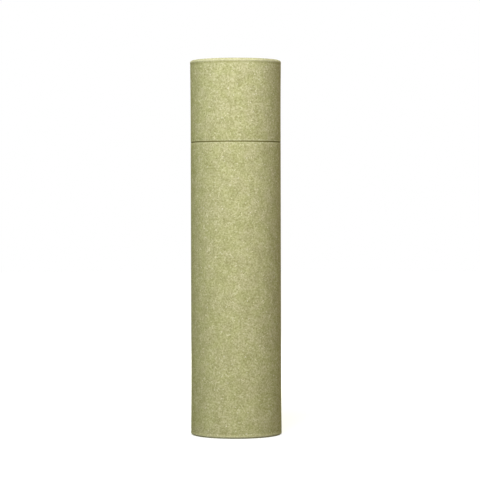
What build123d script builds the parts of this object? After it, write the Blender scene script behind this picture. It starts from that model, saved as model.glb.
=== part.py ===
from build123d import *
import os

# Round paper tube with a lift-off lid, for incense sticks up to 210 mm long.
# A body tube and a lid tube of one wound board meet in a thin seam. An inner tube
# is glued into the body and stands out of it as the neck that the lid slides over.
# The bottom of the body and the top of the lid are rolled inwards, and each roll
# presses its lip against a board disc, which closes the end.
# The frame: Z runs up the axis of the tube, with the origin in the middle of the
# ring that it stands on. Lengths are in millimetres.

# Driving dimensions of the two outer tubes
outer_diameter = 53.0  # over the paper, away from the rolled ends
body_height = 172.0  # from the standing ring to the seam
lid_height = 48.0  # from the seam to the top of the lid
board = 1.2  # wall of both outer tubes

# The rolled ends
roll_gap = 0.6  # space inside the roll, between the lip and the wall
roll_depth = 2.3  # from the crown of the roll to the end of its lip
shoulder_width = 1.0  # pressed slope from the crown out to the corner of the wall
shoulder_height = 0.6  # how far that slope falls
shoulder_radius = 1.3  # rounding of the corner, where the wall turns over
bead = 0.15  # how far the wall leans out from the end of the lip to that corner
crown_bevel = 0.8  # pressed slope from the crown down into the recess
end_swell = 0.2  # how far the disc and the rolling tool widen the wall
swell_length = 30.0  # stretch of wall in which that widening dies away

# The end discs
disc_board = 1.5  # thickness of both discs
disc_gap = 0.05  # glue line round the edge of a disc

# The inner tube
neck_board = 1.15  # wall of the inner tube
neck_gap = 0.15  # all round, inside the lid and, for the glue, inside the body
lid_head_room = 12.2  # free height between the neck and the disc of the lid
neck_chamfer = 0.45  # lead-in that guides the lid on

# Cut edges of the board at the seam
cut_edge_bevel = 0.25

# Worked out from the sizes above
total_height = body_height + lid_height
wall_radius = outer_diameter / 2
seat_radius = wall_radius + end_swell  # over the wall, where the disc sits inside it
corner_radius = seat_radius + bead
lip_radius = seat_radius - 2 * board - roll_gap
disc_radius = seat_radius - board - disc_gap
disc_depth = roll_depth + disc_board  # from the crown to the inside of the disc
neck_radius = wall_radius - board - neck_gap
neck_top = total_height - disc_depth - lid_head_room


def tube_section(length):
    """Draws half the section of an outer tube: its rolled end at Y = 0, its cut end at Y = length."""
    with BuildSketch() as section:
        with BuildLine():
            wall = Line((wall_radius, length), (wall_radius, roll_depth + swell_length))
            swell = TangentArc(wall @ 1, (seat_radius, roll_depth), tangent=wall % 1)
            Polyline(
                swell @ 1,
                (corner_radius, shoulder_height),
                (corner_radius - shoulder_width, 0),
                (lip_radius, 0),
                (lip_radius, roll_depth),
            )
            offset(amount=board, side=Side.RIGHT, kind=Kind.INTERSECTION, closed=True)
        make_face()
        widest_corner = section.vertices().sort_by(Axis.X)[-1]
        fillet(widest_corner, shoulder_radius)
        crown_corners = section.vertices().group_by(Axis.Y)[0]
        chamfer(crown_corners.sort_by(Axis.X)[0], crown_bevel)
        cut_corners = section.vertices().group_by(Axis.Y)[-1]
        chamfer(cut_corners.sort_by(Axis.X)[-1], cut_edge_bevel)
    return section.sketch


with BuildPart() as body_tube:
    with BuildSketch(Plane.XZ):
        add(tube_section(body_height))
    revolve(axis=Axis.Z)

with BuildPart() as lid_tube:
    with BuildSketch(Plane(origin=(0, 0, total_height), x_dir=(1, 0, 0), z_dir=(0, 1, 0))):
        add(tube_section(lid_height))
    revolve(axis=Axis.Z)

with BuildPart() as base_disc:
    with BuildSketch(Plane.XY.offset(roll_depth)):
        Circle(disc_radius)
    extrude(amount=disc_board)

with BuildPart() as lid_disc:
    with BuildSketch(Plane.XY.offset(total_height - disc_depth)):
        Circle(disc_radius)
    extrude(amount=disc_board)

with BuildPart() as neck_tube:
    with BuildSketch(Plane.XY.offset(disc_depth)):
        Circle(neck_radius)
        Circle(neck_radius - neck_board, mode=Mode.SUBTRACT)
    extrude(amount=neck_top - disc_depth)
    chamfer(neck_tube.edges().group_by(Axis.Z)[-1].sort_by(SortBy.RADIUS)[-1], neck_chamfer)

os.makedirs("parts", exist_ok=True)
for name, piece in {
    "body_tube": body_tube,
    "base_disc": base_disc,
    "neck_tube": neck_tube,
    "lid_tube": lid_tube,
    "lid_disc": lid_disc,
}.items():
    piece.part.label = name
    export_step(piece.part, f"parts/{name}.step")
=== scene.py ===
import math
import random

import bpy
from mathutils import Euler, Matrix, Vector


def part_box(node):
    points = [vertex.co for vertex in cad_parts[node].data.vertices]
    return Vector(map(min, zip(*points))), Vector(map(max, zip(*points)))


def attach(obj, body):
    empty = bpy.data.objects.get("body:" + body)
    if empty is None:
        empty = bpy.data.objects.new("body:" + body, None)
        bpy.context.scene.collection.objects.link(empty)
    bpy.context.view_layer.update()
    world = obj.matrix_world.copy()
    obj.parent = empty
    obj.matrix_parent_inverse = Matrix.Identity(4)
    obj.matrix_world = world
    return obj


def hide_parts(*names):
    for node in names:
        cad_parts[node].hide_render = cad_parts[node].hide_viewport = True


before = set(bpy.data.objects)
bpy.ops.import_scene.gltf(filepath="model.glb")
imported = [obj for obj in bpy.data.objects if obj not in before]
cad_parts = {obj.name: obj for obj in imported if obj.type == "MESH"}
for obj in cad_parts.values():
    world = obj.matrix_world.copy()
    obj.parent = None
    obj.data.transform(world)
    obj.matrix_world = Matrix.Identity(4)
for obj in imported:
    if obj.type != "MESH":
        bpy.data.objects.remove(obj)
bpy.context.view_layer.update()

# Looks for a round paper tube with a lift-off lid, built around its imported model.
# The two outer tubes, the neck and the end discs are modelled again, with rounded
# rolls, pressed pleats, a lap in the cover paper and a wound joint on the neck.

bl_info = {
    "name": "Incense Paper Tube",
    "version": (1, 0, 0),
    "blender": (4, 5, 0),
    "location": "View3D > Sidebar > Paper Tube",
    "description": "Dresses the packed paper tube: covered outer tubes, neck, end discs and stage",
    "category": "Object",
}

MM = 0.001
PLY = 0.3 * MM  # thickness of one layer of the wound board
GRAIN_HEIGHT = 0.05 * MM  # height of the fine relief on the papers and boards
LAP_START = 12 * MM  # from the rolled end to where the lap of the cover paper shows
MERGE_DISTANCE = 0.001 * MM  # vertices closer than this become one
SMOOTH_ANGLE = math.radians(40)  # faces that meet at more than this show an edge

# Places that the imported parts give
widest_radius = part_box("body_tube")[1].x
seam_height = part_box("body_tube")[1].z
total_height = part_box("lid_tube")[1].z
neck_foot, neck_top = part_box("neck_tube")[0].z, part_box("neck_tube")[1].z
neck_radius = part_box("neck_tube")[1].x
disc_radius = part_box("base_disc")[1].x


def hex_colour(code):
    """Turns an sRGB hex colour such as #BFBD8C into linear red, green and blue."""
    channels = [int(code[i : i + 2], 16) / 255 for i in (1, 3, 5)]
    return [c / 12.92 if c <= 0.04045 else ((c + 0.055) / 1.055) ** 2.4 for c in channels]


def length(name, description, default):
    """A length property, given in millimetres."""
    return bpy.props.FloatProperty(
        name=name, description=description, default=default * MM, unit="LENGTH", precision=5
    )


def colour(name, description, default):
    """A colour property, given as sRGB hex."""
    return bpy.props.FloatVectorProperty(
        name=name, description=description, default=hex_colour(default), subtype="COLOR", size=3
    )


class TubeSizes(bpy.types.PropertyGroup):
    """Sizes of the outer tubes, the neck and the discs"""

    board: length("Board", "Wall of the two outer tubes", 1.2)
    neck_board: length("Neck board", "Wall of the inner tube", 1.15)
    roll_bulge: length("Roll bulge", "How far the roll stands out beyond the straight wall", 0.2835)
    end_swell: length("End swell", "How far the wall widens towards its rolled end", 0.2)
    swell_length: length("Swell length", "Stretch of wall in which it widens", 30.0)
    roll_gap: length("Roll gap", "Space inside the roll", 0.6)
    roll_depth: length("Roll depth", "From the crown of the roll to the end of its lip", 2.3)
    shoulder: length("Shoulder", "Outside radius of the bend where the wall turns over", 1.3)
    crown_round: length("Crown round", "Radius of the bend from the crown into the recess", 0.8)
    crease: length("Crease", "Depth of the line that the rolling tool leaves under the bend", 0.08)
    body_cut: length("Body cut edge", "Rounding of the body's cut edge at the seam", 0.45)
    lid_cut: length("Lid cut edge", "Rounding of the lid's cut edge at the seam", 0.22)
    lap: length("Lap", "Width of the overlap of the cover paper at the back", 8.0)
    paper: length("Paper", "Thickness of the cover paper", 0.1)
    pleat: length("Pleat", "Depth of the fine pleats pressed into the rolls", 0.08)
    strip: length("Strip", "Width of the paper strips that the tubes are wound from", 90.0)
    ply_gap: length("Ply gap", "Depth of the groove between two turns of the outermost strip", 0.07)
    neck_chamfer: length("Neck chamfer", "Lead-in at the top of the neck", 0.45)
    neck_bare: length("Bare neck", "Length of neck that is modelled finely, from its top", 39.0)
    dish: length("Dish", "How far the middle of a disc is pressed in", 0.15)
    disc_round: length("Disc round", "Rounding of the punched edge of a disc", 0.25)
    columns: bpy.props.IntProperty(
        name="Columns", description="Faces round an outer tube", default=512, min=64
    )
    neck_columns: bpy.props.IntProperty(
        name="Neck columns", description="Faces round the neck or a disc", default=320, min=64
    )


class TubeColours(bpy.types.PropertyGroup):
    """Colours of the papers and boards"""

    cover: colour("Cover paper", "Middle tone of the mottled cover paper", "#BAB889")
    # cover_pale also tints the painted highlights over the rolls and beside the cut edges
    cover_pale: colour("Pale fibres", "Fibres and worn spots in the cover paper", "#DEDBB5")
    # cover_dark also tints the painted shade under the roll of the lid
    cover_dark: colour("Dark flecks", "Flecks and hollows in the cover paper", "#908E58")
    cover_speck: colour("Specks", "Bits of bleached pulp in the cover paper", "#EDE9D4")
    cover_green: colour("Green tint", "Greener clouds in the cover paper", "#B9B981")
    cover_rose: colour("Rose tint", "Pinkish grey clouds in the cover paper", "#BDB68F")
    # The seam colour is painted shade in the groove between the lid and the body
    seam: colour("Seam", "Grime and shade on the paper at the cut edges", "#6A6636")
    board: colour("Board", "Cut faces of the grey-brown board", "#A08A6C")
    board_dark: colour("Glue lines", "Glue lines, gaps and short dark fibres in the board", "#5F4C34")
    kraft: colour("Kraft", "Kraft paper on the neck and inside the tubes", "#B5946C")
    kraft_pale: colour("Pale kraft", "Long pale fibres in the kraft paper", "#CDB18A")


def opaque(rgb):
    """A colour with its alpha."""
    return (*rgb, 1.0)


def add_node(tree, kind, settings, inputs, output=None):
    """Adds a shader node with its settings, links or sets its inputs, and returns one output.
    Inputs and the output go by their identifiers, and with no name it is the first output."""
    node = tree.nodes.new("ShaderNode" + kind)
    for key, value in settings.items():
        setattr(node, key, value)
    sockets = {socket.identifier: socket for socket in node.inputs}
    for key, value in inputs.items():
        if isinstance(value, bpy.types.NodeSocket):
            tree.links.new(value, sockets[key])
        else:
            sockets[key].default_value = value
    outputs = [socket for socket in node.outputs if output in (None, socket.identifier)]
    return outputs[0] if outputs else None


def new_material(name):
    """A new material with its node tree emptied, as (material, tree)."""
    material = bpy.data.materials.new(name)
    material.use_nodes = True
    material.node_tree.nodes.clear()
    return material, material.node_tree


def distance_from(tree, value, middle):
    """How far a value lies from a middle value, on either side of it."""
    past = add_node(tree, "Math", {"operation": "SUBTRACT"}, {"Value": value, "Value_001": middle})
    return add_node(tree, "Math", {"operation": "ABSOLUTE"}, {"Value": past})


def lay_tints(tree, ground, layers):
    """Lays tints over a ground colour. A layer is a pattern, the two values between which it fades,
    the share of the tint at each of them, and the tint."""
    ground = opaque(ground)
    for pattern, start, end, start_share, end_share, tint in layers:
        fade = {
            "Value": pattern,
            "From Min": start,
            "From Max": end,
            "To Min": start_share,
            "To Max": end_share,
        }
        share = add_node(tree, "MapRange", {"interpolation_type": "SMOOTHSTEP"}, fade)
        mix = {"Factor_Float": share, "A_Color": ground, "B_Color": opaque(tint)}
        ground = add_node(tree, "Mix", {"data_type": "RGBA"}, mix, "Result_Color")
    return ground


def paper_surface(tree, tone, grain, roughness, relief):
    """Ends a paper or board material: dry and uncoated, with its grain as a fine relief."""
    bump = add_node(tree, "Bump", {}, {"Strength": relief, "Distance": GRAIN_HEIGHT, "Height": grain})
    paper = {
        "Base Color": tone,
        "Roughness": roughness,
        "IOR": 1.5,
        "Specular IOR Level": 0.12,
        "Normal": bump,
    }
    surface = add_node(tree, "BsdfPrincipled", {}, paper)
    add_node(tree, "OutputMaterial", {}, {"Surface": surface})


def painted_light_bands(tree, place, colours):
    """Layers of painted light on the cover paper: painted highlights over the rolls and beside the
    cut edges, where the paper is also a little rubbed, and painted shade under the roll of the lid
    and in the seam."""
    height = add_node(tree, "SeparateXYZ", {}, {"Vector": place}, "Z")
    from_top = add_node(
        tree, "Math", {"operation": "SUBTRACT"}, {"Value": total_height, "Value_001": height}
    )
    # The body's cut edge is rounded more than the lid's, so the seam's middle lies a little lower
    sizes = bpy.context.scene.tube_sizes
    from_seam = distance_from(tree, height, seam_height - (sizes.body_cut - sizes.lid_cut) / 2)
    layers = []
    # Each band: what it is measured from, how far away it lies, its width, strength and tint
    for start, away, width, share, tint in (
        (from_top, 1.1, 1.25, 0.5, colours.cover_pale),  # painted highlight where the paper turns over the top, where it is also a little rubbed
        (height, 0.95, 1.1, 0.46, colours.cover_pale),  # and under the bottom
        (from_top, 2.3, 0.95, 0.4, colours.cover_dark),  # painted shade in the crease under the roll of the lid
        (from_seam, 0.85, 0.6, 0.18, colours.cover_pale),  # painted highlight beside the cut edges, where the paper is also a little frayed
    ):
        distance = distance_from(tree, start, away * MM)
        layers.append((distance, 0, width * MM, share, 0, tint))
    # Painted shade fills the seam up to 0.2 mm from its middle and is gone at 0.46 mm
    layers.append((from_seam, 0.2 * MM, 0.46 * MM, 0.93, 0, colours.seam))
    return layers


def cover_paper(colours, piece, offset, bands=True):
    """Cover paper pressed from recycled pulp, uncoated, and glued round the board. It gives the eye
    an olive ground with curly pale fibres, dark flecks, specks of bleached pulp and faint clouds of
    green and rose. On the tubes it is painted paler over the rolls and beside the cut edges as
    highlights, where the paper is also a little rubbed, and painted darker as shade under the roll of
    the lid and in the seam."""
    material, tree = new_material("cover_paper_" + piece)
    own = add_node(tree, "TexCoord", {}, {}, "Object")
    place = add_node(tree, "Mapping", {}, {"Vector": own, "Location": offset})

    # Sizes in millimetres. The real grain is about 0.1 and is drawn at 0.5, so that it shows.
    noise = {}
    for name, size, detail, roughness, distortion in (
        ("clouds", 8.0, 1.0, 0.5, 0.0),  # greener and rosier clouds
        ("shade", 6.0, 1.0, 0.5, 0.0),  # darker patches
        ("mottle", 0.95, 2.0, 0.6, 0.0),  # thick and thin places of the pulp
        ("curls", 2.1, 1.0, 0.4, 0.6),  # the lines on which fibres lie
        ("breaks", 2.6, 0.0, 0.5, 0.0),  # the gaps between fibres
        ("grain", 0.5, 3.0, 0.6, 0.0),  # the relief
    ):
        inputs = {
            "Vector": place,
            "Scale": 1 / (size * MM),
            "Detail": detail,
            "Roughness": roughness,
            "Distortion": distortion,
        }
        noise[name] = add_node(tree, "TexNoise", {}, inputs)
    # Flecks are 1.8 mm apart and specks 2.7 mm, and the mottle's noise pushes both out of round
    push = 1.6 * MM
    inputs = {
        "Vector": noise["mottle"].node.outputs["Color"],
        "Vector_001": (push, push, push),
        "Vector_002": place,
    }
    pushed = add_node(tree, "VectorMath", {"operation": "MULTIPLY_ADD"}, inputs)
    flecks, specks = (
        add_node(tree, "TexVoronoi", {}, {"Vector": pushed, "Scale": 1 / (apart * MM)})
        for apart in (1.8, 2.7)
    )

    # A fibre lies where the curls are near their middle value, and ends where the breaks are low
    fibre_reach = 0.035
    from_line = distance_from(tree, noise["curls"], 0.5)
    fade = {
        "Value": noise["breaks"],
        "From Min": 0.45,
        "From Max": 0.62,
        "To Min": fibre_reach,
        "To Max": 0,
    }
    gap = add_node(tree, "MapRange", {"interpolation_type": "SMOOTHSTEP"}, fade)
    fibre = add_node(tree, "Math", {"operation": "ADD"}, {"Value": from_line, "Value_001": gap})

    layers = [
        (noise["clouds"], 0.35, 0.65, 0.4, 0, colours.cover_green),
        (noise["clouds"], 0.35, 0.65, 0, 0.4, colours.cover_rose),
        (noise["shade"], 0.3, 0.6, 0.3, 0, colours.cover_dark),
        (noise["mottle"], 0.3, 0.55, 0.6, 0, colours.cover_dark),
        (noise["mottle"], 0.48, 0.72, 0, 0.45, colours.cover_pale),
        (fibre, 0, fibre_reach, 0.8, 0, colours.cover_pale),
        (flecks, 0.08, 0.26, 0.95, 0, colours.cover_dark),
        (specks, 0.06, 0.14, 0.85, 0, colours.cover_speck),
    ]
    # The tubes get painted highlights and painted shade at their rolls and in the seam
    if bands:
        layers += painted_light_bands(tree, own, colours)
    paper_surface(tree, lay_tints(tree, colours.cover, layers), noise["grain"], 0.85, 0.25)
    return material


def cut_board(colours, piece):
    """Cut edge of wound board. It gives the eye a dry grey-brown edge with thin glue lines between
    its plies and the olive skin of the cover paper outermost."""
    material, tree = new_material("cut_board_" + piece)
    place = add_node(tree, "TexCoord", {}, {}, "Object")
    inputs = {"Vector": place, "Vector_001": (1, 1, 0)}
    flat = add_node(tree, "VectorMath", {"operation": "MULTIPLY"}, inputs)
    radius = add_node(tree, "VectorMath", {"operation": "LENGTH"}, {"Vector": flat}, "Value")
    wall = widest_radius - bpy.context.scene.tube_sizes.roll_bulge
    depth = add_node(tree, "Math", {"operation": "SUBTRACT"}, {"Value": wall, "Value_001": radius})
    inputs = {"Value": depth, "Value_001": PLY / 2}
    from_glue = add_node(tree, "Math", {"operation": "PINGPONG"}, inputs)
    # The tufts of fibres that the cut leaves are 0.6 mm apart
    inputs = {"Vector": place, "Scale": 1 / (0.6 * MM), "Detail": 3.0, "Roughness": 0.6}
    fibres = add_node(tree, "TexNoise", {}, inputs)
    layers = (
        (fibres, 0.35, 0.7, 0.5, 0, colours.board_dark),
        (from_glue, 0, 0.05 * MM, 0.7, 0, colours.board_dark),  # a glue line is 0.1 mm wide
        (depth, 0.08 * MM, 0.14 * MM, 1, 0, colours.cover),  # the cover paper is 0.1 mm thick
    )
    paper_surface(tree, lay_tints(tree, colours.board, layers), fibres, 0.9, 0.4)
    return material


def strip_joint(tree, place, pitch, phase):
    """The angle round the tube, in radians, from the spiral line where two turns of a strip meet."""
    x = add_node(tree, "SeparateXYZ", {}, {"Vector": place}, "X")
    y, z = x.node.outputs["Y"], x.node.outputs["Z"]
    turn = add_node(tree, "Math", {"operation": "ARCTAN2"}, {"Value": y, "Value_001": x})
    inputs = {"Value": z, "Value_001": -2 * math.pi / pitch, "Value_002": phase}
    climb = add_node(tree, "Math", {"operation": "MULTIPLY_ADD"}, inputs)
    along = add_node(tree, "Math", {"operation": "ADD"}, {"Value": turn, "Value_001": climb})
    return add_node(tree, "Math", {"operation": "PINGPONG"}, {"Value": along, "Value_001": math.pi})


def kraft_paper(colours, piece, pitch=None, phase=0.0):
    """Kraft paper. It gives the eye a warm brown face with long pale fibres. On a tube, where it is
    wound in one strip, it has a thin dark line where two turns of the strip meet."""
    material, tree = new_material("kraft_paper_" + piece)
    place = add_node(tree, "TexCoord", {}, {}, "Object")

    # The fibres are 0.7 mm apart round the tube and about three times as long up it
    upright = add_node(tree, "Mapping", {}, {"Vector": place, "Scale": (1, 1, 0.35)})
    inputs = {
        "Vector": upright,
        "Scale": 1 / (0.7 * MM),
        "Detail": 4.0,
        "Roughness": 0.6,
        "Distortion": 0.4,
    }
    fibres = add_node(tree, "TexNoise", {}, inputs)
    # Faint clouds are 12 mm apart
    inputs = {"Vector": place, "Scale": 1 / (12 * MM), "Detail": 2.0}
    clouds = add_node(tree, "TexNoise", {}, inputs)
    layers = [
        (fibres, 0.45, 0.75, 0, 0.7, colours.kraft_pale),
        (fibres, 0.25, 0.45, 0.35, 0, colours.board_dark),
        (clouds, 0.3, 0.7, 0.12, 0, colours.board_dark),
    ]
    if pitch:
        # In radians round the tube: dark up to 0.19 mm from the joint and gone at 0.48 mm
        from_joint = strip_joint(tree, place, pitch, phase)
        layers.append((from_joint, 0.0075, 0.019, 0.75, 0, colours.board_dark))
    paper_surface(tree, lay_tints(tree, colours.kraft, layers), fibres, 0.75, 0.3)
    return material


def start_outline(name, radius, height):
    """Adds a plane, merges it to one vertex and moves that to the start of an outline."""
    bpy.ops.object.select_all(action="DESELECT")
    bpy.ops.mesh.primitive_plane_add(size=MM)
    piece = bpy.context.object
    piece.name = name
    piece.data.name = name
    bpy.ops.object.mode_set(mode="EDIT")
    bpy.ops.mesh.select_mode(type="VERT")
    bpy.ops.mesh.merge(type="CENTER")
    bpy.ops.transform.translate(value=(radius, 0, height))
    return piece


def draw_outline(points):
    """Extrudes the selected vertex from point to point, given as (radius, height)."""
    for start, end in zip(points, points[1:]):
        step = (end[0] - start[0], 0, end[1] - start[1])
        bpy.ops.mesh.extrude_region_move(TRANSFORM_OT_translate={"value": step})


def select(piece, wanted):
    """Selects the vertices for which wanted(radius, angle in degrees, height) is true."""
    bpy.ops.mesh.select_all(action="DESELECT")
    bpy.ops.object.mode_set(mode="OBJECT")
    for vertex in piece.data.vertices:
        x, y, z = vertex.co
        vertex.select = wanted(math.hypot(x, y), math.degrees(math.atan2(y, x)), z)
    bpy.ops.object.mode_set(mode="EDIT")


def near(value, target, reach=0.01 * MM):
    """Whether a length lies within reach of its target."""
    return abs(value - target) < reach


def column_at(angle, columns):
    """The column of vertices at an angle in degrees, counted from +X."""
    return round(angle % 360 / (360 / columns)) % columns


def round_corner(piece, radius, height, size, segments):
    """Rounds one corner of an outline."""
    select(piece, lambda r, a, z: near(r, radius) and near(z, height))
    bpy.ops.mesh.bevel(offset=size, offset_type="OFFSET", segments=segments, affect="VERTICES")


def turn_outline(piece, columns):
    """Turns the outline round Z into a closed shell with its faces outwards."""
    bpy.ops.object.mode_set(mode="OBJECT")
    bpy.ops.object.modifier_add(type="SCREW")
    turn = piece.modifiers[-1]
    turn.steps = columns
    turn.render_steps = columns
    turn.use_merge_vertices = True
    turn.merge_threshold = MERGE_DISTANCE
    bpy.ops.object.modifier_apply(modifier=turn.name)
    bpy.ops.object.mode_set(mode="EDIT")
    bpy.ops.mesh.select_all(action="SELECT")
    bpy.ops.mesh.remove_doubles(threshold=MERGE_DISTANCE)
    bpy.ops.mesh.normals_make_consistent(inside=False)


def finish_piece(piece, body, node, materials):
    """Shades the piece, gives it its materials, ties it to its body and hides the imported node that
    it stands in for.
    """
    bpy.ops.object.mode_set(mode="OBJECT")
    bpy.ops.object.shade_smooth_by_angle(angle=SMOOTH_ANGLE)
    for material in materials:
        piece.data.materials.append(material)
    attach(piece, body)
    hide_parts(node)


def paint_faces(piece, slot_index, wanted):
    """Gives a material slot to the faces for which wanted(radius, height, normal) is true."""
    for face in piece.data.polygons:
        x, y, z = face.center
        if wanted(math.hypot(x, y), z, face.normal):
            face.material_index = slot_index


def helix_pitch(sizes):
    """How far a strip climbs in one turn when it is wound edge to edge."""
    girth = 2 * math.pi * neck_radius
    return girth * math.tan(math.asin(sizes.strip / girth))


def outer_tube(sizes, name, tube_length, cut_round, to_z):
    """Models one outer tube, from its cut end to its roll and back up its inside.
    to_z turns a distance from the crown of the roll into a height."""
    wall = widest_radius - sizes.roll_bulge
    seat = wall + sizes.end_swell
    lip = seat - 2 * sizes.board - sizes.roll_gap
    roll_end = sizes.roll_depth
    swell_start = roll_end + sizes.swell_length
    swell_end = roll_end + 1.4 * MM
    crease = (seat - sizes.crease, roll_end + 0.05 * MM)
    bend_start = (widest_radius, sizes.shoulder + 0.15 * MM)
    straight_length = tube_length - swell_start

    # How many rows of faces there are outside the straight wall, on its swell and in its lining
    rows = max(2, round(straight_length / (5 * MM)))
    swell_rows = 10
    lining_rows = 6
    outside = [(wall, tube_length - straight_length * k / rows) for k in range(rows + 1)]
    for k in range(1, swell_rows + 1):
        s = 1 - k / swell_rows
        height = swell_end + (swell_start - swell_end) * s
        outside.append((wall + sizes.end_swell * (1 - s) ** 2, height))
    # From the crease over the crown and round the lip to the inside of the wall
    roll = [
        crease,
        bend_start,
        (widest_radius, 0),
        (lip, 0),
        (lip, roll_end),
        (lip + sizes.board, roll_end),
        (lip + sizes.board, sizes.board),
        (seat - sizes.board, sizes.board),
    ]
    inside = [(r - sizes.board, h) for r, h in reversed(outside[rows:])]
    for k in range(1, lining_rows + 1):
        inside.append((wall - sizes.board, swell_start + straight_length * k / lining_rows))
    outline = [(r, to_z(h)) for r, h in outside + roll + inside]

    piece = start_outline(name, *outline[0])
    draw_outline(outline)
    select(piece, lambda r, a, z: near(z, to_z(tube_length)))
    bpy.ops.mesh.edge_face_add()
    # Each rounded corner: its radius, its distance from the crown, its rounding and its segments
    for radius, height, size, segments in (
        (widest_radius, 0, sizes.shoulder, 10),
        (lip, 0, sizes.crown_round, 7),
        (*crease, 0.5 * MM, 4),
        (*bend_start, 0.13 * MM, 2),
        (wall, tube_length, cut_round, 5),
    ):
        round_corner(piece, radius, to_z(height), size, segments)
    turn_outline(piece, sizes.columns)
    return piece


def press_pleats(piece, sizes, to_z, seed):
    """Presses fine pleats into the paper where it is rolled in, from the crown down to the lip."""
    draw = random.Random(seed)
    fewest, most = 4, 11  # columns from one pleat to the next
    pleated = set()
    column = 0
    while column < sizes.columns:
        pleated.add(column)
        column += draw.randint(fewest, most)
    # The end of the lip and the outer side of the shoulder stay smooth
    low, high = sorted((to_z(-0.01 * MM), to_z(0.95 * sizes.roll_depth)))
    outer = widest_radius - 0.9 * sizes.shoulder

    def on_pleat(radius, angle, z):
        return column_at(angle, sizes.columns) in pleated and low < z < high and radius < outer

    select(piece, on_pleat)
    bpy.ops.transform.shrink_fatten(value=-sizes.pleat)


def lay_lap(piece, sizes, low, high):
    """Raises the overlap of the cover paper at the back, crisp at its free edge and soft beyond."""
    step = 360 / sizes.columns
    wall = widest_radius - sizes.roll_bulge
    skin = wall - 0.05 * MM  # the outside of the tube lies beyond this
    edge = column_at(90, sizes.columns)
    end = edge + round(sizes.lap / (wall * math.radians(step)))

    def select_columns(first, last):
        def wanted(radius, angle, z):
            column = column_at(angle, sizes.columns)
            return radius > skin and low < z < high and first <= column <= last

        select(piece, wanted)

    # The lap is as high as its paper is thick, and falls off over three columns past its end
    for first, last, share in (
        (edge, end, 1),
        (end + 1, end + 1, 0.8),
        (end + 2, end + 2, 0.5),
        (end + 3, end + 3, 0.2),
    ):
        select_columns(first, last)
        factor = 1 + share * sizes.paper / wall
        bpy.ops.transform.resize(value=(factor, factor, 1), center_override=(0, 0, 0))
    # The flat column before the free edge is drawn up to it
    select_columns(edge - 1, edge - 1)
    pull = -math.radians(0.85 * step)
    bpy.ops.transform.rotate(value=pull, orient_axis="Z", center_override=(0, 0, 0))


def add_outer_tube(context, body, tube_length, cut_round, to_z, seed, paper_place, joint_turn):
    """Models the outer tube of a body, covers it, lines it and paints its cut end. seed draws its
    pleats, paper_place shifts its paper's pattern and joint_turn turns the joint in its lining."""
    sizes, colours = context.scene.tube_sizes, context.scene.tube_colours
    node = body + "_tube"
    piece = outer_tube(sizes, node + "_cover", tube_length, cut_round, to_z)
    press_pleats(piece, sizes, to_z, seed)
    lay_lap(piece, sizes, *sorted((to_z(LAP_START), to_z(tube_length + MM))))
    materials = [
        cover_paper(colours, body, paper_place),
        kraft_paper(colours, body, helix_pitch(sizes), joint_turn),
        cut_board(colours, body),
    ]
    finish_piece(piece, body, node, materials)
    lining_slot, cut_slot = 1, 2
    margin = 0.02 * MM
    lining = widest_radius - sizes.roll_bulge + sizes.end_swell - sizes.board + margin
    paint_faces(piece, lining_slot, lambda r, z, n: r < lining and to_z(z) > sizes.roll_depth + MM)
    paint_faces(piece, cut_slot, lambda r, z, n: to_z(z) > tube_length - margin)


def wound_neck(sizes):
    """Models the inner tube. Its columns follow the helix of the strip, and the column where two
    turns meet is pressed in."""
    inner = neck_radius - sizes.neck_board
    bare = neck_top - sizes.neck_bare
    rows = round(sizes.neck_bare / MM)  # each 1 mm high
    fine = [bare + sizes.neck_bare * k / rows for k in range(rows)]
    outside = [(neck_radius, z) for z in (neck_foot, (neck_foot + bare) / 2, *fine, neck_top)]
    inside = [(inner, z) for r, z in reversed(outside)]
    piece = start_outline("neck_tube_board", *outside[0])
    draw_outline(outside + inside)
    select(piece, lambda r, a, z: near(z, neck_foot))
    bpy.ops.mesh.edge_face_add()
    round_corner(piece, neck_radius, neck_top, sizes.neck_chamfer, 3)
    turn_outline(piece, sizes.neck_columns)

    pitch = helix_pitch(sizes)
    bpy.ops.object.mode_set(mode="OBJECT")
    bpy.ops.object.modifier_add(type="SIMPLE_DEFORM")
    twist = piece.modifiers[-1]
    twist.deform_method = "TWIST"
    twist.deform_axis = "Z"
    twist.angle = 2 * math.pi * sizes.neck_bare / pitch
    twist.limits = ((bare - neck_foot) / (neck_top - neck_foot), 1)
    bpy.ops.object.modifier_apply(modifier=twist.name)
    bpy.ops.object.mode_set(mode="EDIT")

    step = 360 / sizes.neck_columns
    skin = neck_radius - 0.02 * MM  # the outside of the neck lies beyond this

    def on_joint(radius, angle, z):
        column = (angle - 360 * z / pitch + step / 2) % 360 / step
        return radius > skin and z > bare and column < 1

    select(piece, on_joint)
    factor = 1 - sizes.ply_gap / neck_radius
    bpy.ops.transform.resize(value=(factor, factor, 1), center_override=(0, 0, 0))
    return piece


def end_disc(sizes, name, outside, inside):
    """Models one punched disc, pressed in a little in its middle, with rounded edges."""
    inward = math.copysign(sizes.dish, inside - outside)
    rings = 12
    face = []
    for k in range(rings + 1):
        share = k / rings
        face.append((disc_radius * share, outside + inward * (1 - share**2) ** 2))
    back = [(r, z + inside - outside) for r, z in reversed(face)]
    piece = start_outline(name, *face[0])
    draw_outline(face + back)
    for height in (outside, inside):
        round_corner(piece, disc_radius, height, sizes.disc_round, 3)
    turn_outline(piece, sizes.neck_columns)
    return piece


class TUBE_OT_body(bpy.types.Operator):
    """Model the tall outer tube with its rolled bottom"""

    bl_idname = "paper_tube.add_body_tube"
    bl_label = "Body tube"

    def execute(self, context):
        add_outer_tube(
            context,
            body="body",
            tube_length=seam_height,
            cut_round=context.scene.tube_sizes.body_cut,
            to_z=lambda h: h,
            seed=11,
            paper_place=(0.15, 0.6, 0.4),
            joint_turn=1.9,
        )
        return {"FINISHED"}


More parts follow.
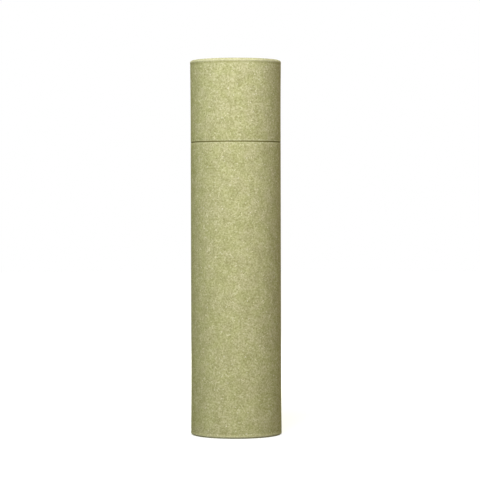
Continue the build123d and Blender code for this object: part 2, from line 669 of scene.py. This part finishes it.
class TUBE_OT_lid(bpy.types.Operator):
    """Model the outer tube of the lid with its rolled top"""

    bl_idname = "paper_tube.add_lid_tube"
    bl_label = "Lid tube"

    def execute(self, context):
        add_outer_tube(
            context,
            body="lid",
            tube_length=total_height - seam_height,
            cut_round=context.scene.tube_sizes.lid_cut,
            to_z=lambda h: total_height - h,
            seed=23,
            paper_place=(0.8, 0.5, 0.15),
            joint_turn=4.7,
        )
        return {"FINISHED"}


class TUBE_OT_neck(bpy.types.Operator):
    """Model the spiral-wound inner tube that stands out of the body as the neck"""

    bl_idname = "paper_tube.add_neck"
    bl_label = "Neck"

    def execute(self, context):
        sizes, colours = context.scene.tube_sizes, context.scene.tube_colours
        piece = wound_neck(sizes)
        materials = [
            kraft_paper(colours, "neck", helix_pitch(sizes)),
            cut_board(colours, "neck"),
        ]
        finish_piece(piece, "body", "neck_tube", materials)
        # Its cut top shows the layers of the board
        paint_faces(piece, 1, lambda r, z, n: n.z > 0.3)
        return {"FINISHED"}


class TUBE_OT_discs(bpy.types.Operator):
    """Model the board discs that close both ends"""

    bl_idname = "paper_tube.add_discs"
    bl_label = "End discs"

    def execute(self, context):
        sizes, colours = context.scene.tube_sizes, context.scene.tube_colours
        for node, body, sign in (("base_disc", "body", 1), ("lid_disc", "lid", -1)):
            low, high = (corner.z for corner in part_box(node))
            outside, inside = (low, high) if sign > 0 else (high, low)
            piece = end_disc(sizes, node + "_board", outside, inside)
            materials = [
                cover_paper(colours, node, (0.12, 0.4, 0.21 * sign), bands=False),
                kraft_paper(colours, node),
            ]
            finish_piece(piece, body, node, materials)
            # The face towards the inside of the tube is kraft
            paint_faces(piece, 1, lambda r, z, n: n.z * sign > 0.5)
        return {"FINISHED"}


class TUBE_OT_stage(bpy.types.Operator):
    """Add the white floor, the soft lamps, the world and the camera"""

    bl_idname = "paper_tube.add_stage"
    bl_label = "Stage"

    def execute(self, context):
        add_floor()
        add_world(context.scene)
        # The photo's light is cool from above, greenish from the left and warm from the right.
        # Each lamp: its name, its place and its size in metres, its power in watts and its colour.
        for lamp in (
            ("key", (-0.065, -0.395, 0.62), 0.35, 3.2, "#F6FAFF"),
            ("front", (-0.094, -0.895, 0.36), 0.35, 4.38, "#FEFDFF"),
            ("left", (-0.45, -0.536, 0.30), 0.35, 0.25, "#E8FFBE"),
            ("right", (0.45, -0.536, 0.30), 0.35, 0.28, "#FFD2AC"),
            ("back_left", (-0.42, 0.5, 0.42), 0.4, 1.05, "#FAFFC0"),
            ("back_right", (0.42, 0.5, 0.36), 0.4, 1.35, "#FFF3CA"),
            ("back", (0.04, 0.66, 0.45), 0.35, 2.6, "#FFFFFF"),
        ):
            add_lamp(*lamp)
        add_camera(context.scene)
        return {"FINISHED"}


def add_lamp(name, place, size, power, tint):
    """A square soft lamp that faces the middle of the tube."""
    bpy.ops.object.light_add(type="AREA", location=place)
    lamp = bpy.context.object
    lamp.name = name
    lamp.data.size = size
    lamp.data.energy = power
    lamp.data.color = hex_colour(tint)
    aim = Vector((0, 0, total_height / 2)) - Vector(place)
    lamp.rotation_euler = aim.to_track_quat("-Z", "Y").to_euler()


def seen_share(tree):
    """1 for what the camera sees straight, in a gloss or through glass, and 0 for light on things."""
    seen = add_node(tree, "LightPath", {}, {}, "Is Camera Ray")
    rays = seen.node.outputs
    for ray in (rays["Is Glossy Ray"], rays["Is Transmission Ray"]):
        seen = add_node(tree, "Math", {"operation": "MAXIMUM"}, {"Value": seen, "Value_001": ray})
    return seen


def add_floor():
    """A pale matte floor that shows as white and keeps a faint shadow of the tube. The light that
    it throws back on the tube is duller."""
    bpy.ops.object.select_all(action="DESELECT")
    bpy.ops.mesh.primitive_circle_add(vertices=64, radius=3.0, fill_type="NGON")
    floor = bpy.context.object
    floor.name = "floor"
    material, tree = new_material("white_floor")
    place = add_node(tree, "TexCoord", {}, {}, "Object")
    distance = add_node(tree, "VectorMath", {"operation": "LENGTH"}, {"Vector": place}, "Value")
    # Its own glow is weaker near the tube, where the shadow falls
    fade = {"Value": distance, "From Min": 0.1, "From Max": 0.6, "To Min": 0.6, "To Max": 1.0}
    strength = add_node(tree, "MapRange", {"interpolation_type": "SMOOTHSTEP"}, fade)
    glow = add_node(tree, "Emission", {}, {"Color": (1, 1, 1, 1), "Strength": strength})
    shaded = add_node(tree, "BsdfDiffuse", {}, {"Color": opaque(hex_colour("#C8C8C4"))})
    seen = add_node(tree, "AddShader", {}, {"Shader": glow, "Shader_001": shaded})
    bounce = add_node(tree, "BsdfDiffuse", {}, {"Color": opaque(hex_colour("#666657"))})
    surface = {"Fac": seen_share(tree), "Shader": bounce, "Shader_001": seen}
    add_node(tree, "OutputMaterial", {}, {"Surface": add_node(tree, "MixShader", {}, surface)})
    floor.data.materials.append(material)


def add_world(scene):
    """White where the camera sees it, and a weak warm light on the tube from all sides."""
    scene.world = bpy.data.worlds.new("studio")
    scene.world.use_nodes = True
    tree = scene.world.node_tree
    tree.nodes.clear()
    white = add_node(tree, "Background", {}, {"Color": (1, 1, 1, 1), "Strength": 1.0})
    warm = opaque(hex_colour("#FFF6A6"))
    soft = add_node(tree, "Background", {}, {"Color": warm, "Strength": 0.07})
    surface = {"Fac": seen_share(tree), "Shader": soft, "Shader_001": white}
    add_node(tree, "OutputWorld", {}, {"Surface": add_node(tree, "MixShader", {}, surface)})


def add_camera(scene):
    """The photograph's view: from the front, a little above the middle, with a long lens. Seen from
    there the tube leans to one side by a small part of a degree."""
    place, target = Vector((0, -1.2, 0.134)), Vector((0.00239, 0, 0.1145))
    bpy.ops.object.camera_add(location=place)
    camera = bpy.context.object
    camera.name = "camera"
    camera.data.lens = 152.7
    camera.data.sensor_width = 36
    camera.data.clip_start = 0.01
    lean = Euler((0, 0, math.radians(-0.147))).to_quaternion()
    camera.rotation_euler = ((target - place).to_track_quat("-Z", "Y") @ lean).to_euler()
    scene.camera = camera
    scene.view_settings.view_transform = "Standard"


class TUBE_PT_panel(bpy.types.Panel):
    """The steps that dress the tube, with its sizes and colours"""

    bl_label = "Paper Tube"
    bl_idname = "TUBE_PT_panel"
    bl_space_type = "VIEW_3D"
    bl_region_type = "UI"
    bl_category = "Paper Tube"

    def draw(self, context):
        for operator in OPERATORS:
            self.layout.operator(operator.bl_idname)
        for group in (context.scene.tube_sizes, context.scene.tube_colours):
            for key in group.__annotations__:
                self.layout.prop(group, key)


OPERATORS = (TUBE_OT_body, TUBE_OT_lid, TUBE_OT_neck, TUBE_OT_discs, TUBE_OT_stage)
CLASSES = (TubeSizes, TubeColours, *OPERATORS, TUBE_PT_panel)


def register():
    for item in CLASSES:
        bpy.utils.register_class(item)
    bpy.types.Scene.tube_sizes = bpy.props.PointerProperty(type=TubeSizes)
    bpy.types.Scene.tube_colours = bpy.props.PointerProperty(type=TubeColours)


def unregister():
    del bpy.types.Scene.tube_colours
    del bpy.types.Scene.tube_sizes
    for item in reversed(CLASSES):
        bpy.utils.unregister_class(item)


def main():
    register()
    bpy.ops.paper_tube.add_body_tube()
    bpy.ops.paper_tube.add_lid_tube()
    bpy.ops.paper_tube.add_neck()
    bpy.ops.paper_tube.add_discs()
    bpy.ops.paper_tube.add_stage()


if __name__ == "__main__":
    main()
